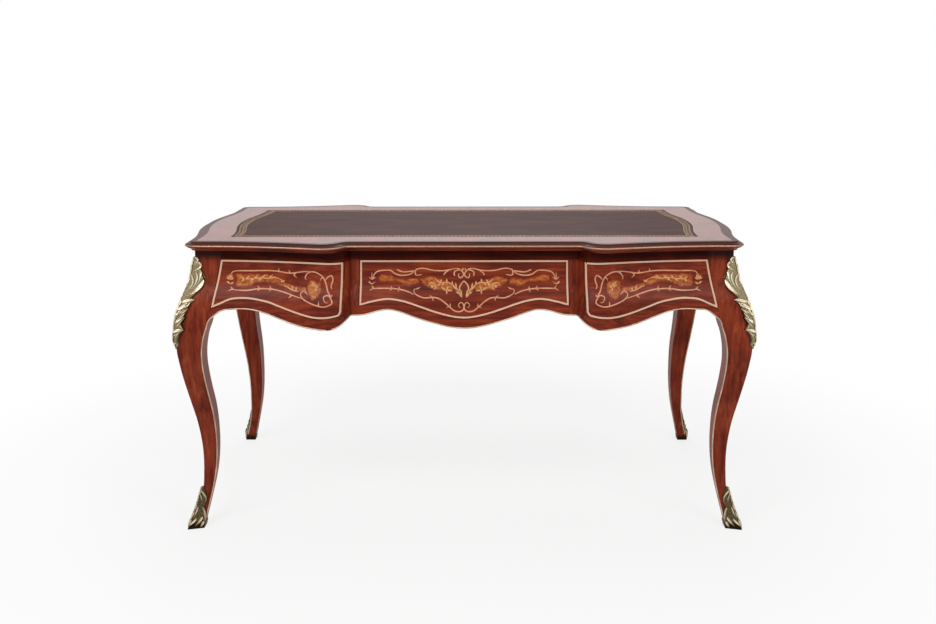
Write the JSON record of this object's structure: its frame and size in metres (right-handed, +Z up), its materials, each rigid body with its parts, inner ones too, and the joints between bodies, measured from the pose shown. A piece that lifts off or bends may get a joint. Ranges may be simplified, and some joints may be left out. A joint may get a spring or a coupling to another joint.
{
  "type": "writing desk",
  "caption": "Louis XV style bureau plat: serpentine writing desk with a leather top, drawers under a moulded edge, and tall cabriole legs with gilt-bronze mounts.",
  "frame": {"origin": "on the floor, under the centre of the desk", "axes": "+Z up, -Y is the drawer front, +X to the right of someone who looks at the front"},
  "size_m": [1.5644, 0.8552, 0.8],
  "materials": {
    "veneer": "french-polished mahogany veneer",
    "carcass_oak": "planed, unpolished",
    "drawer_oak": "planed, unpolished",
    "leather": "waxed, gold tooled",
    "bronze": "old gilding"
  },
  "bodies": {
    "carcass": {"back_apron": "veneer", "corner_mount_back_left": "bronze", "corner_mount_back_right": "bronze", "corner_mount_front_left": "bronze", "corner_mount_front_right": "bronze", "drawer_kickers": "carcass_oak", "drawer_partition_left": "carcass_oak", "drawer_partition_right": "carcass_oak", "front_lower_rail_center": "veneer", "front_lower_rail_left": "veneer", "front_lower_rail_right": "veneer", "front_post_left": "veneer", "front_post_right": "veneer", "front_top_rail": "veneer", "leg_back_left": "veneer", "leg_back_right": "veneer", "leg_front_left": "veneer", "leg_front_right": "veneer", "runner_center_left": "carcass_oak", "runner_center_right": "carcass_oak", "runner_left_inner": "carcass_oak", "runner_left_outer": "carcass_oak", "runner_right_inner": "carcass_oak", "runner_right_outer": "carcass_oak", "sabot_back_left": "bronze", "sabot_back_right": "bronze", "sabot_front_left": "bronze", "sabot_front_right": "bronze", "side_apron_left": "veneer", "side_apron_right": "veneer", "top_edge_moulding": "veneer", "top_edge_rope": "bronze", "top_panel": "veneer", "writing_leather": "leather"},
    "drawer_left": {"drawer_left_back": "drawer_oak", "drawer_left_bottom": "drawer_oak", "drawer_left_front": "veneer", "drawer_left_side_inner": "drawer_oak", "drawer_left_side_outer": "drawer_oak"},
    "drawer_center": {"drawer_center_back": "drawer_oak", "drawer_center_bottom": "drawer_oak", "drawer_center_front": "veneer", "drawer_center_side_left": "drawer_oak", "drawer_center_side_right": "drawer_oak"},
    "drawer_right": {"drawer_right_back": "drawer_oak", "drawer_right_bottom": "drawer_oak", "drawer_right_front": "veneer", "drawer_right_side_inner": "drawer_oak", "drawer_right_side_outer": "drawer_oak"}
  },
  "joints": [
    {"name": "drawer_left_slide", "type": "slide", "parent": "carcass", "child": "drawer_left", "axis": [0, -1, 0], "range_m": [0, 0.36]},
    {"name": "drawer_center_slide", "type": "slide", "parent": "carcass", "child": "drawer_center", "axis": [0, -1, 0], "range_m": [0, 0.36]},
    {"name": "drawer_right_slide", "type": "slide", "parent": "carcass", "child": "drawer_right", "axis": [0, -1, 0], "range_m": [0, 0.36]}
  ]
}
